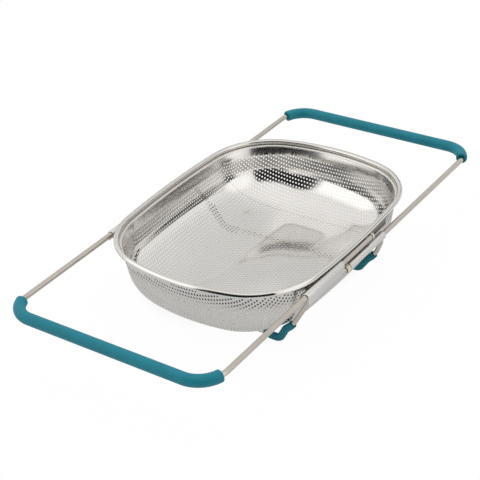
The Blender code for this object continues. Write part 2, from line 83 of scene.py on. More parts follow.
class Nodes:
    """Short names for building one tree of shader nodes on its main shader."""

    def __init__(self, name):
        """A new material with its own tree."""
        self.material = bpy.data.materials.new(name)
        self.material.use_nodes = True
        self.tree = self.material.node_tree
        self.shader = self.tree.nodes["Principled BSDF"]

    def node(self, kind, **settings):
        """A new node with its settings."""
        made = self.tree.nodes.new(kind)
        for key, value in settings.items():
            setattr(made, key, value)
        return made

    def link(self, source, target):
        """Join an output to an input."""
        self.tree.links.new(source, target)

    def math(self, operation, *values):
        """One operation on numbers and other nodes' outputs."""
        made = self.node("ShaderNodeMath", operation=operation)
        for socket, value in zip(made.inputs, values):
            if isinstance(value, (int, float)):
                socket.default_value = value
            else:
                self.link(value, socket)
        return made.outputs[0]

    def vector_math(self, operation, vector, other=(0, 0, 0)):
        """One operation on a node's vector and a fixed one."""
        made = self.node("ShaderNodeVectorMath", operation=operation)
        self.link(vector, made.inputs[0])
        made.inputs[1].default_value = other
        return made.outputs["Value" if operation in ("LENGTH", "DOT_PRODUCT") else "Vector"]

    def object_place(self, scale=(1, 1, 1), shift=(0, 0, 0)):
        """Object coordinates in metres, times the scale, plus the shift."""
        place = self.node("ShaderNodeTexCoord")
        mapping = self.node("ShaderNodeMapping")
        mapping.inputs["Location"].default_value = shift
        mapping.inputs["Scale"].default_value = scale
        self.link(place.outputs["Object"], mapping.inputs["Vector"])
        return mapping.outputs["Vector"]

    def noise(self, vector, scale, detail):
        """Smooth noise from 0 to 1, with about scale cells to a metre."""
        made = self.node("ShaderNodeTexNoise")
        made.inputs["Scale"].default_value = scale
        made.inputs["Detail"].default_value = detail
        made.inputs["Roughness"].default_value = 0.55
        self.link(vector, made.inputs["Vector"])
        return made.outputs["Fac"]

    def ramp(self, source, *stops):
        """Colour that runs through stops of place and colour."""
        made = self.node("ShaderNodeValToRGB")
        for element, (place, colour) in zip(made.color_ramp.elements, stops):
            element.position = place
            element.color = (*colour, 1)
        self.link(source, made.inputs["Fac"])
        return made.outputs["Color"]

    def range(self, source, low, high, to_low, to_high):
        """Straight line from (low, to_low) to (high, to_high), held at both ends."""
        made = self.node("ShaderNodeMapRange")
        for key, value in zip(("From Min", "From Max", "To Min", "To Max"), (low, high, to_low, to_high)):
            made.inputs[key].default_value = value
        self.link(source, made.inputs["Value"])
        return made.outputs["Result"]

    def bump(self, height, strength, distance):
        """Normal of a relief whose height runs from 0 to distance, in metres."""
        made = self.node("ShaderNodeBump")
        made.inputs["Strength"].default_value = strength
        made.inputs["Distance"].default_value = distance
        self.link(height, made.inputs["Height"])
        return made.outputs["Normal"]

    def set(self, **values):
        """Numbers, colours and outputs for the main shader's own sockets."""
        for key, value in values.items():
            socket = self.shader.inputs[key.replace("_", " ").title().replace("Ior", "IOR")]
            if hasattr(value, "is_output"):
                self.link(value, socket)
            else:
                socket.default_value = value


def oval(half_length, half_width, x=0.0, y=0.0):
    """Distance from (x, y) on the floor, measured in an oval's half axes."""
    return paint.vector_math("LENGTH", paint.object_place(
        scale=(1 / half_length, 1 / half_width, 0), shift=(-x / half_length, -y / half_width, 0)))


floor_mesh = bpy.data.meshes.new("floor")
floor_mesh.from_pydata([(x * FLOOR_HALF_SIZE, y * FLOOR_HALF_SIZE, 0)
                        for x, y in ((-1, -1), (1, -1), (1, 1), (-1, 1))], [], [(0, 1, 2, 3)])
floor = bpy.data.objects.new("floor", floor_mesh)
scene.collection.objects.link(floor)
paint = Nodes("floor_white")
paint.set(base_color=(FLOOR_WHITE, FLOOR_WHITE, FLOOR_WHITE, 1), roughness=0.9)
glow = paint.node("ShaderNodeEmission")
glow.inputs["Color"].default_value = (1, 1, 1, 1)
# The shaded footprint lies a little behind the bowl, where the camera looks through the holes. The metal
# sees the floor near the object less bright than the floor further off: a painted shadow of the object,
# seen only in reflections.
rays = paint.node("ShaderNodeLightPath").outputs
footprint = paint.range(oval(*FOOTPRINT), 0.70, 1.0, 1.0, 0.0)
to_camera = paint.math("MULTIPLY_ADD", footprint, -FOOTPRINT_SHADE, GLOW_SEEN)
mirrored = paint.math("MAXIMUM", rays["Is Glossy Ray"], rays["Is Transmission Ray"])
seen = paint.math("MULTIPLY", rays["Is Camera Ray"], to_camera)
seen = paint.math("MULTIPLY_ADD", mirrored, GLOW_MIRRORED, seen)
mirrored_shadow = paint.range(oval(*MIRRORED_OVAL), 1.6, 5.0, MIRRORED_SHADOW_LEVEL, 1.0)
strength = paint.math("MULTIPLY_ADD", mirrored, paint.math("SUBTRACT", mirrored_shadow, 1.0), 1.0)
paint.link(strength, glow.inputs["Strength"])
blend = paint.node("ShaderNodeMixShader")
paint.link(seen, blend.inputs["Fac"])
paint.link(paint.shader.outputs[0], blend.inputs[1])
paint.link(glow.outputs[0], blend.inputs[2])
paint.link(blend.outputs[0], paint.tree.nodes["Material Output"].inputs["Surface"])
floor_mesh.materials.append(paint.material)

# Studio
# A white tent with large soft fields of light and dark, because those are what polished steel shows, and
# one wide soft lamp above. The widest dark field is the opening on the photographer's side.
# A patch is an azimuth, an elevation, the cosines of the angles where its edge starts and where it is
# full, and how much lighter than the tent it is. A screen stands on the horizon: an azimuth, two cosines
# as for a patch, the sines of the elevations up to which it is full and where it ends, and its depth.
PATCHES = ((-15, 42, 0.80, 0.95, -0.17), (40, 31, 0.92, 0.98, -0.20), (138, 12, 0.84, 0.94, 0.45),
           (-85, 22, 0.86, 0.95, 0.26))
GREY_SCREEN = (-50, 0.92, 0.97, 0.13, 0.20, 0.30)
OPENING = (199, math.cos(math.radians(43)), math.cos(math.radians(39)), 0.60, 0.70, 0.98)
REAR_SCREEN = (0, 0.10, 0.40, 0.07, 0.12, 0.80)
TENT_COLOUR = {"Red": 1.0, "Green": 0.985, "Blue": 0.965}
LAMP_PLACE = (0.2, 0.5, 2.2)
LAMP_SIZE = (2.6, 2.0)
LAMP_WATTS = 16


class Studio(Nodes):
    """The world's nodes, with the same short names."""

    def __init__(self, name):
        """A new world with its own tree."""
        world = bpy.data.worlds.new(name)
        scene.world = world
        world.use_nodes = True
        self.tree = world.node_tree
        self.shader = self.tree.nodes["Background"]


tent = Studio("studio_tent")
towards = tent.node("ShaderNodeTexCoord").outputs["Generated"]
level = tent.vector_math("NORMALIZE", tent.vector_math("MULTIPLY", towards, (1, 1, 0)))
split = tent.node("ShaderNodeSeparateXYZ")
tent.link(towards, split.inputs[0])
height = split.outputs["Z"]


def facing(source, azimuth, elevation=0.0):
    """Cosine of the angle between the direction looked in and a heading."""
    return tent.vector_math("DOT_PRODUCT", source, heading(azimuth, elevation))


def screen(azimuth, edge, full, full_height, end_height, depth):
    """The screen's depth within it and 0 elsewhere: a share by azimuth times a share by height."""
    sideways = tent.range(facing(level, azimuth), edge, full, 0.0, depth)
    return tent.math("MULTIPLY", sideways, tent.range(height, full_height, end_height, 1.0, 0.0))


light = tent.range(height, 0.0, 0.20, 0.84, 0.95)
light = tent.math("ADD", light, tent.range(height, 0.75, 1.0, 0.0, 0.06))
for azimuth, elevation, edge, full, change in PATCHES:
    light = tent.math("ADD", light, tent.range(facing(towards, azimuth, elevation), edge, full, 0.0, change))
light = tent.math("SUBTRACT", light, screen(*GREY_SCREEN))
for dark in (OPENING, REAR_SCREEN):
    light = tent.math("MULTIPLY", light, tent.math("SUBTRACT", 1.0, screen(*dark)))
# The camera sees a plain white backdrop above the floor.
direct = tent.node("ShaderNodeLightPath").outputs["Is Camera Ray"]
warm = tent.node("ShaderNodeCombineColor")
for channel, share in TENT_COLOUR.items():
    tent.link(tent.math("MAXIMUM", tent.math("MULTIPLY", light, share), direct), warm.inputs[channel])
tent.link(warm.outputs["Color"], tent.shader.inputs["Color"])

lamp_data = bpy.data.lights.new("key_box", "AREA")
lamp_data.shape = "RECTANGLE"
lamp_data.size, lamp_data.size_y = LAMP_SIZE
lamp_data.energy = LAMP_WATTS
lamp = bpy.data.objects.new("key_box", lamp_data)
lamp.location = LAMP_PLACE
lamp.rotation_euler = (-Vector(LAMP_PLACE)).to_track_quat("-Z", "Y").to_euler()
lamp.visible_glossy = False
scene.collection.objects.link(lamp)

# Perforated bowl
# One sheet of polished stainless steel: a flat floor, a wall that rises from it on a 38 mm arc, and a
# plain band. It is punched flat and then pressed, so the holes keep their straight rows, which run out
# at the corners. The bores of the holes are dull sheared metal, with painted shade up under the rim.
BOWL_X = 0.00445
RIM_HALF_LENGTH = 0.1533
RIM_HALF_WIDTH = 0.1213
RIM_SIDE_RADIUS = 1.0
RIM_END_RADIUS = 0.246
RIM_CORNER_RADIUS = 0.077
LIP_INSET = 0.0072
SIDE_TAPER = 1.6
SHEET = 0.0005
FLOOR_Z = 0.0081
BEAD_Z = FLOOR_Z + 0.068
BAND_FOOT_Z = BEAD_Z - 0.013
SHEET_TOP_Z = 0.0704
WALL_FOOT_INSET = 0.0135
FLOOR_BEND = 0.038

HOLE_RADIUS = 0.00100
HOLE_SIDES = 12
FLOOR_PITCH = 0.00384
FLOOR_ROW = 0.00383
END_PITCH = 0.00385
END_ROW = 0.00420
MOST_ROWS = 60
EDGE_MARGIN = 0.0009
SEAM_MARGIN = 0.0003
ZONE_X = 27 * FLOOR_PITCH + HOLE_RADIUS + 0.00045
# Cells that reach no further than this past the sheet's edge or the zone's edge are kept and trimmed.
CELL_REACH = 0.0025
# Cells centred further than this inside the floor's edge belong to the floor's piece.
FLOOR_BORDER = 0.002
# The plain band is this much wider than the margin, by angle round the bowl, its width drawn out to its
# length.
BOWL_ASPECT = 0.8
PLAIN_ANGLES = (-180, -75, -35, 95, 150, 180)
PLAIN_WIDTHS = (0, 0, 0.0070, 0.0070, 0.0070, 0)
# High up, the punch's burr narrows the holes, on the outer face by the first share and on the inner by
# the second, and by the piece's own share: floor, front near, front far, rear near and rear far.
BURR_HEIGHTS = (0.054, 0.060)
BURR_SHARES = (-0.12, 0.75)
NARROWED = (0, 1, 0.6, 1, 0)

FLOOR_DOME = (0.105, 0.062)
FLOOR_LEAN = 0.125
EDGE_BAND = 0.023
EDGE_FADE = 0.008
EDGE_LEAN = 0.34
EDGE_HEADING = (0.8, 0.6)
LEAN_HEIGHTS = (0.008, 0.020, 0.027, 0.0316, 0.0373, 0.0430, 0.0450, 0.0470, 0.0590, 0.0640, 0.0704)
LEANS = (0.05, 0.06, 0.07, 0.12, 0.17, 0.21, 0.21, -0.02, -0.02, 0.32, 0.36)

SHEET_COLOUR = (0.80, 0.785, 0.76)
BORE_COLOUR = (0.66, 0.64, 0.61)
# The bores darken to this colour high up, as painted shade under the rim.
SHADED_BORE_COLOUR = (0.05, 0.042, 0.036)
DRAWN_HEIGHTS = (0.044, 0.050)
POLISHED_HEIGHTS = (0.056, 0.062)
# Heights over which the bores' painted shade under the rim sets in.
BORE_SHADE_HEIGHTS = (0.054, 0.063)


def steel(name, colour, roughness, grain, tint_depth=0.05, drawn=0.0):
    """Polished steel with a fine grain, faint clouds about 36 mm wide and patches about 7 mm wide.

    grain scales the lines, which run along the axis that has the least of it. tint_depth is how much
    darker the clouds are. drawn is how much rougher the metal gets from 44 to 50 mm up, where the press
    stretched it. Half of that is polished off again from 56 to 62 mm, towards the plain band.
    """
    made = Nodes(name)
    lines = made.noise(made.object_place(scale=grain), 900, 4)
    clouds = made.noise(made.object_place(), 28, 3)
    patches = made.noise(made.object_place(), 140, 2)
    base = made.ramp(clouds, (0.3, tuple(c * (1 - tint_depth) for c in colour)), (0.7, colour))
    rough = made.math("ADD", made.range(lines, 0.3, 0.7, -0.02, 0.02),
                      made.range(clouds, 0.3, 0.7, roughness - 0.02, roughness + 0.03))
    rough = made.math("ADD", rough, made.range(patches, 0.35, 0.7, -0.01, 0.02))
    if drawn:
        place = made.node("ShaderNodeSeparateXYZ")
        made.link(made.object_place(), place.inputs[0])
        height = place.outputs["Z"]
        rough = made.math("ADD", rough, made.range(height, *DRAWN_HEIGHTS, 0.0, drawn))
        rough = made.math("SUBTRACT", rough, made.range(height, *POLISHED_HEIGHTS, 0.0, drawn / 2))
    made.set(base_color=base, metallic=1.0, roughness=rough, normal=made.bump(lines, 0.12, 0.00002))
    return made.material


def punched_steel(name):
    """Sheared metal whose colour turns dark from 54 to 63 mm up, along a wavy line: painted shade under the
    rim.
    """
    made = Nodes(name)
    place = made.node("ShaderNodeSeparateXYZ")
    made.link(made.object_place(), place.inputs[0])
    clouds = made.noise(made.object_place(), 300, 2)
    wavy = made.math("MULTIPLY_ADD", clouds, 0.006, place.outputs["Z"])
    # Painted shade under the rim: the bores darken high up along a wavy line.
    bore_shade = made.ramp(made.range(wavy, *BORE_SHADE_HEIGHTS, 0.0, 1.0), (0.0, BORE_COLOUR), (1.0, SHADED_BORE_COLOUR))
    made.set(base_color=bore_shade, metallic=1.0, roughness=made.range(clouds, 0.3, 0.7, 0.48, 0.62))
    return made.material


def unit(vectors):
    """The same vectors with a length of 1."""
    return vectors / np.maximum(np.linalg.norm(vectors, axis=-1, keepdims=True), 1e-9)


def arcs(inset):
    """Centre, radius and end angles of the side, corner and end arcs of the outline at each inset.

    In one quarter the side arc is centred on (0, b - 1 m), the end arc on (a - 0.246 m, 0), and the
    corner arc where circles of the differences of the radii meet. Arrays are indexed [arc, ...].
    """
    inset = np.asarray(inset, dtype=float)
    half_length = RIM_HALF_LENGTH - inset
    half_width = RIM_HALF_WIDTH - inset - np.maximum(inset - LIP_INSET, 0) * (SIDE_TAPER - 1)
    side = RIM_SIDE_RADIUS - inset
    end = RIM_END_RADIUS - inset
    corner = RIM_CORNER_RADIUS * half_width / RIM_HALF_WIDTH
    side_y = half_width - side
    end_x = half_length - end
    gap = np.hypot(end_x, side_y)
    along = ((side - corner) ** 2 - (end - corner) ** 2 + gap**2) / (2 * gap)
    across = np.sqrt(np.maximum((side - corner) ** 2 - along**2, 0))
    corner_x = (end_x * along - side_y * across) / gap
    corner_y = side_y - (side_y * along + end_x * across) / gap
    side_turn = np.arctan2(corner_y - side_y, corner_x)
    end_turn = np.arctan2(corner_y, corner_x - end_x)
    zero = np.zeros_like(inset)
    centre_x = np.stack([zero, corner_x, end_x])
    centre_y = np.stack([side_y, corner_y, zero])
    radius = np.stack([side, corner, end])
    turns = np.stack([zero + math.pi / 2, side_turn, end_turn, zero])
    return centre_x, centre_y, radius, turns


def of_arc(values, arc):
    """For each place, the value that belongs to its arc."""
    return np.take_along_axis(values, np.expand_dims(arc, 0), 0)[0]


def outline_at(share, inset):
    """Point of the outline, the angle of its outward normal and its arc, by share along one quarter.

    The share runs from 0 to 1 on the side arc, to 2 on the corner and to 3 on the end arc. The point is
    centre + radius (cos fold, sin fold).
    """
    share, inset = np.broadcast_arrays(np.asarray(share, dtype=float), np.asarray(inset, dtype=float))
    centre_x, centre_y, radius, turns = arcs(inset)
    arc = np.clip(share.astype(int), 0, 2)
    start = of_arc(turns, arc)
    fold = start + (of_arc(turns, arc + 1) - start) * (share - arc)
    reach = of_arc(radius, arc)
    x = of_arc(centre_x, arc) + reach * np.cos(fold)
    return x, of_arc(centre_y, arc) + reach * np.sin(fold), fold, arc


def support(arc, fold, inset):
    """Distance from the origin to the outline's tangent line whose normal has the angle fold."""
    centre_x, centre_y, radius, _ = arcs(inset)
    return of_arc(centre_x, arc) * np.cos(fold) + of_arc(centre_y, arc) * np.sin(fold) + of_arc(radius, arc)


def lengths_along(path):
    """Distance of each point from the path's start."""
    return np.concatenate([[0], np.cumsum(np.linalg.norm(np.diff(path, axis=0), axis=1))])


def wall_profile():
    """Distance up from the floor's edge, inset and height along the outer face, and the edge's inset.

    An arc of FLOOR_BEND is tangent to the floor and to a straight wall that leans out to the band's foot.
    The band stands upright from there.
    """
    wall = unit(np.array([WALL_FOOT_INSET - LIP_INSET, FLOOR_Z - BAND_FOOT_Z]))
    bend = math.acos(wall[0])
    edge_inset = WALL_FOOT_INSET + FLOOR_BEND * math.tan(bend / 2)
    turns = np.linspace(0, bend, 120)[:, None]
    arc = np.hstack([edge_inset - FLOOR_BEND * np.sin(turns), FLOOR_Z + FLOOR_BEND * (1 - np.cos(turns))])
    foot = (LIP_INSET, BAND_FOOT_Z)
    top = (LIP_INSET, SHEET_TOP_Z)
    path = np.concatenate([arc, np.linspace(arc[-1], foot, 60)[1:], np.linspace(foot, top, 12)[1:]])
    return lengths_along(path), *path.T, edge_inset


TRAVEL, INSETS, HEIGHTS, EDGE_INSET = wall_profile()
EDGE_X, EDGE_Y, EDGE_R, EDGE_TURNS = arcs(EDGE_INSET)


def ring_share(fraction, inset):
    """Share along a quarter of the outline at a fraction of that quarter's length."""
    _, _, radius, turns = arcs(inset)
    side, corner, end = radius * (turns[:-1] - turns[1:])
    target = fraction * (side + corner + end)
    share = np.where(target < side + corner, 1 + (target - side) / corner, 2 + (target - side - corner) / end)
    return np.clip(np.where(target < side, target / side, share), 0, 3)


def wall_table(columns=241, steps=260):
    """The profile's travel against the real distance up the sheet, for each fraction of a quarter.

    The sides draw in faster than the ends, so there the sheet is longer for the same profile.
    """
    fractions = np.linspace(0, 1, columns)
    x, y, _, _ = outline_at(ring_share(fractions[:, None], INSETS), INSETS)
    steps_3d = np.sqrt(np.diff(x, axis=1) ** 2 + np.diff(y, axis=1) ** 2 + np.diff(HEIGHTS) ** 2)
    real = np.concatenate([np.zeros((columns, 1)), np.cumsum(steps_3d, axis=1)], axis=1)
    grid = np.linspace(0, real[:, -1].max(), steps)
    table = np.array([np.interp(grid, row, TRAVEL) for row in real])
    return fractions, grid, table, real[:, -1]


FRACTIONS, REAL_GRID, TRAVEL_TABLE, REAL_TOP = wall_table()


def blank_to_wall(spots):
    """Fraction of the quarter, distance up from the floor's edge, and distance left to the sheet's top.

    A spot is a place in the flat blank. Its distance from the floor's outline becomes the distance up the
    wall. Its fraction is measured along the curve that lies that distance outside the floor's outline.
    """
    x = np.abs(spots[..., 0])
    y = np.abs(spots[..., 1])
    turn = [np.arctan2(y - EDGE_Y[k], x - EDGE_X[k]) for k in range(3)]
    far = [np.hypot(x - EDGE_X[k], y - EDGE_Y[k]) - EDGE_R[k] for k in range(3)]
    on_side = turn[0] >= EDGE_TURNS[1]
    on_end = (turn[2] <= EDGE_TURNS[2]) & ~on_side
    far = np.where(on_side, far[0], np.where(on_end, far[2], far[1]))
    beyond = np.maximum(far, 0)
    whole = [(EDGE_R[k] + beyond) * (EDGE_TURNS[k] - EDGE_TURNS[k + 1]) for k in range(3)]
    part = [(EDGE_R[k] + beyond) * (EDGE_TURNS[k] - turn[k]) for k in range(3)]
    along = np.where(on_side, part[0], np.where(on_end, whole[0] + whole[1] + part[2], whole[0] + part[1]))
    fraction = np.clip(along / sum(whole), 0, 1)
    left = np.interp(fraction, FRACTIONS, REAL_TOP) - far
    return fraction, far, left


def sheet_place(spots):
    """Outer face, inward normal and distance up from the floor's edge for spots of the flat blank.

    The travel is read from the table between its four nearest entries. With n the outline's normal
    angle and h its support distance, the wall's inward normal is (-dz cos n, -dz sin n, dh) for a small
    step up the wall.
    """
    fraction, far, left = blank_to_wall(spots)
    column = np.clip(far / REAL_GRID[1], 0, len(REAL_GRID) - 1.001)
    row = np.clip(fraction / FRACTIONS[1], 0, len(FRACTIONS) - 1.001)
    c = column.astype(int)
    r = row.astype(int)
    u = column - c
    v = row - r
    travel = ((1 - v) * ((1 - u) * TRAVEL_TABLE[r, c] + u * TRAVEL_TABLE[r, c + 1])
              + v * ((1 - u) * TRAVEL_TABLE[r + 1, c] + u * TRAVEL_TABLE[r + 1, c + 1]))
    travel = np.where(left <= 0, TRAVEL[-1], travel)
    inset = np.interp(travel, TRAVEL, INSETS)
    wall_x, wall_y, fold, arc = outline_at(ring_share(fraction, inset), inset)
    step = 1e-4
    below = np.maximum(travel - step, 0)
    above = np.minimum(travel + step, TRAVEL[-1])
    out = (support(arc, fold, np.interp(above, TRAVEL, INSETS))
           - support(arc, fold, np.interp(below, TRAVEL, INSETS)))
    up = np.interp(above, TRAVEL, HEIGHTS) - np.interp(below, TRAVEL, HEIGHTS)
    mirror = np.concatenate([np.where(spots < 0, -1, 1), np.ones_like(spots[..., :1])], axis=-1)
    place = np.stack([wall_x, wall_y, np.interp(travel, TRAVEL, HEIGHTS)], axis=-1) * mirror
    normal = unit(np.stack([-up * np.cos(fold), -up * np.sin(fold), out], axis=-1)) * mirror
    inside = far <= 0
    place[inside] = np.insert(spots[inside], 2, FLOOR_Z, axis=-1)
    normal[inside] = (0, 0, 1)
    return place, normal, far


def hole_cells(zone):
    """Centres and corner offsets of the six-sided cells round the holes in one zone of the blank.

    The middle zone's rows run along X and the end zones' rows along Y. Each row is set on by half a
    pitch, and a cell is the set of places nearest to one hole: its corners lie
    row / 2 +- pitch^2 / (8 row) from the middle of its row.
    """
    middle = zone == "middle"
    pitch, row = (FLOOR_PITCH, FLOOR_ROW) if middle else (END_PITCH, END_ROW)
    tip = row / 2 + pitch**2 / (8 * row)
    shoulder = row / 2 - pitch**2 / (8 * row)
    half = pitch / 2
    corners = np.array([(0, tip), (-half, shoulder), (-half, -shoulder), (0, -tip), (half, -shoulder),
                        (half, shoulder)])
    j, i = np.meshgrid(np.arange(-MOST_ROWS if middle else 0, MOST_ROWS), np.arange(-MOST_ROWS, MOST_ROWS),
                       indexing="ij")
    along = (i + (j % 2) / 2) * pitch
    if middle:
        return np.stack([along, j * row], axis=-1).reshape(-1, 2), corners
    sign = 1 if zone == "rear" else -1
    centres = np.stack([sign * (ZONE_X + row / 2 + j * row), along], axis=-1)
    return centres.reshape(-1, 2), corners[:, ::-1] * (1, -1)


def all_cells():
    """Corners, hole outline, centre and pierced flag of every cell that lies on the blank.

    Corners are held within their zone, so that neighbouring zones meet on one line.
    """
    cells = []
    limits = {"middle": (-ZONE_X, ZONE_X), "front": (-np.inf, -ZONE_X), "rear": (ZONE_X, np.inf)}
    for zone, (low, high) in limits.items():
        centres, corners = hole_cells(zone)
        _, _, left = blank_to_wall(centres)
        x = centres[:, 0]
        keep = (left > -CELL_REACH) & (x > low - CELL_REACH) & (x < high + CELL_REACH)
        centres = centres[keep]
        x = x[keep]
        turns = np.linspace(0, 2 * math.pi, HOLE_SIDES, endpoint=False)
        turns = turns + math.atan2(corners[0][1], corners[0][0])
        hole = centres[:, None] + HOLE_RADIUS * np.stack([np.cos(turns), np.sin(turns)], axis=-1)
        rim = centres[:, None] + corners
        rim[..., 0] = np.clip(rim[..., 0], low, high)
        from_seam = np.abs(np.abs(x) - ZONE_X)
        from_seam[(zone == "middle") & (np.abs(x) > ZONE_X)] = 0
        angle = np.degrees(np.arctan2(centres[:, 1] / BOWL_ASPECT, x))
        plain = np.interp(angle, PLAIN_ANGLES, PLAIN_WIDTHS)
        pierced = (left[keep] > HOLE_RADIUS + EDGE_MARGIN + plain) & (from_seam > HOLE_RADIUS + SEAM_MARGIN)
        cells.append((rim, hole, pierced, centres))
    return [np.concatenate(part) for part in zip(*cells)]


def pressed_normal(place, normal, far):
    """Shading normal of the inner face, which isn't quite true: the floor is domed a little.

    The floor's normal leans outwards by up to FLOOR_LEAN, most at a little over half the way to its
    edge. At the rear and the far side its border, within EDGE_BAND of the wall, is turned up by
    EDGE_LEAN, as far as the wall's own bend doesn't turn it up more. far is the distance outside the
    floor's edge. The wall's normal leans up by a share that depends on its height: most below 46 mm,
    where the wall curves in, and in the band.
    """
    out = place[..., :2] / FLOOR_DOME
    radius = np.linalg.norm(out, axis=-1, keepdims=True)
    swell = np.sin(math.pi * np.clip(radius / 1.25, 0, 1))
    flat = normal[..., 2:3] ** 4
    side = unit(out**3 / FLOOR_DOME)
    border = np.clip((side @ EDGE_HEADING + 0.1) / 0.5, 0, 1)[..., None]
    border = border * np.clip((far[..., None] + EDGE_BAND) / EDGE_FADE, 0, 1)
    bent = np.sqrt(np.maximum(1 - normal[..., 2:3] ** 2, 0)) / np.maximum(normal[..., 2:3], 0.05)
    turned = np.maximum(border * EDGE_LEAN - bent, 0)
    sideways = unit(place[..., :2]) * swell * FLOOR_LEAN * flat * (1 - border) - side * turned
    up = (1 - flat) * np.interp(place[..., 2:3], LEAN_HEIGHTS, LEANS)
    return unit(normal + np.concatenate([sideways, up], axis=-1))


def make_piece(name, surface, material, body, node, normals=None, second=None):
    """A mesh piece that rides on a body and stands for a CAD node.

    surface is the points and a list of arrays of faces, each with as many corners to a face as it has
    columns. normals, if given, is one unit vector for each point. second is another material and the
    index of the array of faces that has it.
    """
    points, blocks = surface
    counts = np.concatenate([np.full(len(block), block.shape[1]) for block in blocks])
    corners = np.concatenate([block.ravel() for block in blocks])
    starts = np.concatenate([[0], np.cumsum(counts)[:-1]])
    mesh = bpy.data.meshes.new(name)
    mesh.vertices.add(len(points))
    mesh.vertices.foreach_set("co", np.asarray(points, dtype=np.float32).ravel())
    mesh.loops.add(len(corners))
    mesh.loops.foreach_set("vertex_index", corners.astype(np.int32))
    mesh.polygons.add(len(counts))
    mesh.polygons.foreach_set("loop_start", starts.astype(np.int32))
    mesh.polygons.foreach_set("loop_total", counts.astype(np.int32))
    mesh.polygons.foreach_set("use_smooth", np.full(len(counts), True))
    mesh.update(calc_edges=True)
    if normals is None:
        mesh.set_sharp_from_angle(angle=math.radians(50))
    else:
        mesh.normals_split_custom_set_from_vertices(np.asarray(normals, dtype=np.float32).reshape(-1, 3))
    mesh.materials.append(material)
    if second:
        mesh.materials.append(second[0])
        own = np.concatenate([np.full(len(block), int(i == second[1])) for i, block in enumerate(blocks)])
        mesh.polygons.foreach_set("material_index", own.astype(np.int32))
    piece = bpy.data.objects.new(name, mesh)
    scene.collection.objects.link(piece)
    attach(piece, body)
    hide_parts(node)


def build_sheet():
    """Pieces of the perforated sheet: the floor and four quarters of the wall.

    The inner face is the outer face plus SHEET times the normal. A pierced cell is 12 faces between its
    corners and its hole on each face of the sheet, and 12 faces in the hole's bore. The normals are
    those of the smooth surface, not of the facets.
    """
    rim, hole, pierced, centres = all_cells()
    _, far, _ = blank_to_wall(centres)
    quarter = np.where(far < -FLOOR_BORDER, 0, 1 + (centres[:, 0] > 0) * 2 + (centres[:, 1] > 0))
    names = ("bowl_floor", "bowl_wall_front_near", "bowl_wall_front_far", "bowl_wall_rear_near",
             "bowl_wall_rear_far")
    k = np.arange(6)
    after = (k + 1) % 6
    three = np.stack([k, 7 + 2 * k, 6 + 2 * k], axis=1)
    four = np.stack([k, after, 6 + 2 * after, 7 + 2 * k], axis=1)
    turn = np.arange(HOLE_SIDES)
    beside = (turn + 1) % HOLE_SIDES
    bore = np.stack([turn, turn + HOLE_SIDES, beside + HOLE_SIDES, beside], axis=1)
    sheet_steel = steel("sheet_steel", SHEET_COLOUR, 0.10, (0.05, 1.0, 1.0), drawn=0.15)
    bore_steel = punched_steel("bore_steel")
    for index, name in enumerate(names):
        points = []
        normals = []
        blocks = []
        offset = 0
        for open_cell in (True, False):
            pick = (quarter == index) & (pierced == open_cell)
            count = int(pick.sum())
            if not count:
                continue
            ring = np.concatenate([rim[pick], hole[pick]], axis=1) if open_cell else rim[pick]
            size = ring.shape[1]
            low, normal, far = sheet_place(ring)
            high = low + normal * SHEET
            stacks = [(low, -normal), (high, pressed_normal(low, normal, far))]
            if open_cell:
                burr = np.interp(low[:, 6:, 2:3], BURR_HEIGHTS, (0.0, 1.0)) * NARROWED[index]
                for face, share in zip((low, high), BURR_SHARES):
                    face[:, 6:] += (face[:, 6:].mean(axis=1, keepdims=True) - face[:, 6:]) * burr * share
                inward = unit(low[:, 6:].mean(axis=1, keepdims=True) - low[:, 6:])
                stacks += [(low[:, 6:], inward), (high[:, 6:], inward)]
            total = sum(stack.shape[1] for stack, _ in stacks)
            for whole, parts in zip((points, normals), zip(*stacks)):
                whole.append(np.concatenate(parts, axis=1).reshape(-1, 3))
            base = offset + np.arange(count)[:, None, None] * total
            for pattern in (three, four) if open_cell else (k[None],):
                blocks.append((base + pattern[None, :, ::-1]).reshape(-1, pattern.shape[1]))
                blocks.append((base + size + pattern[None]).reshape(-1, pattern.shape[1]))
            if open_cell:
                bores = len(blocks)
                blocks.append((base + 2 * size + bore[None]).reshape(-1, 4))
            offset += count * total
        points = np.concatenate(points) + (BOWL_X, 0, 0)
        make_piece(name, (points, blocks), sheet_steel, "basket", "bowl_basket",
                   np.concatenate(normals), (bore_steel, bores))
    return sheet_steel


sheet_steel = build_sheet()

# Lip and flange
# The same sheet above the holes. It stands upright for a little more, turns out on a 1.2 mm bend and
# ends in a narrow flat flange, on which the rim bead is rolled.
FLANGE_Z = 0.0725
FLANGE_INSET = 0.0023
LIP_BEND = 0.0012
LAP = 0.0001


def grid_faces(rows, closed):
    """Points and faces of rings of equal length, joined in order by quads.

    The rings close into a loop, or both ends get a flat cap.
    """
    total, count = rows.shape[:2]
    i, j = np.indices((total if closed else total - 1, count)).reshape(2, -1)
    after = (i + 1) % total
    beside = (j + 1) % count
    quads = np.stack([i * count + j, i * count + beside, after * count + beside, after * count + j], axis=1)
    caps = np.stack([np.arange(count)[::-1], (total - 1) * count + np.arange(count)])
    return rows.reshape(-1, 3), [quads] if closed else [quads, caps]


def outline_loop():
    """Shares and signs for one closed loop of the outline, counter-clockwise from the rear end."""
    quarter = np.concatenate([np.linspace(3, 2, 40)[:-1], np.linspace(2, 1, 60)[:-1], np.linspace(1, 0, 50)])
    shares = np.concatenate([quarter, quarter[-2::-1], quarter[1:], quarter[-2:0:-1]])
    n = len(quarter)
    sign_x = np.concatenate([np.ones(n), -np.ones(2 * n - 2), np.ones(n - 2)])
    sign_y = np.concatenate([np.ones(2 * n - 1), -np.ones(2 * n - 3)])
    return shares, sign_x, sign_y


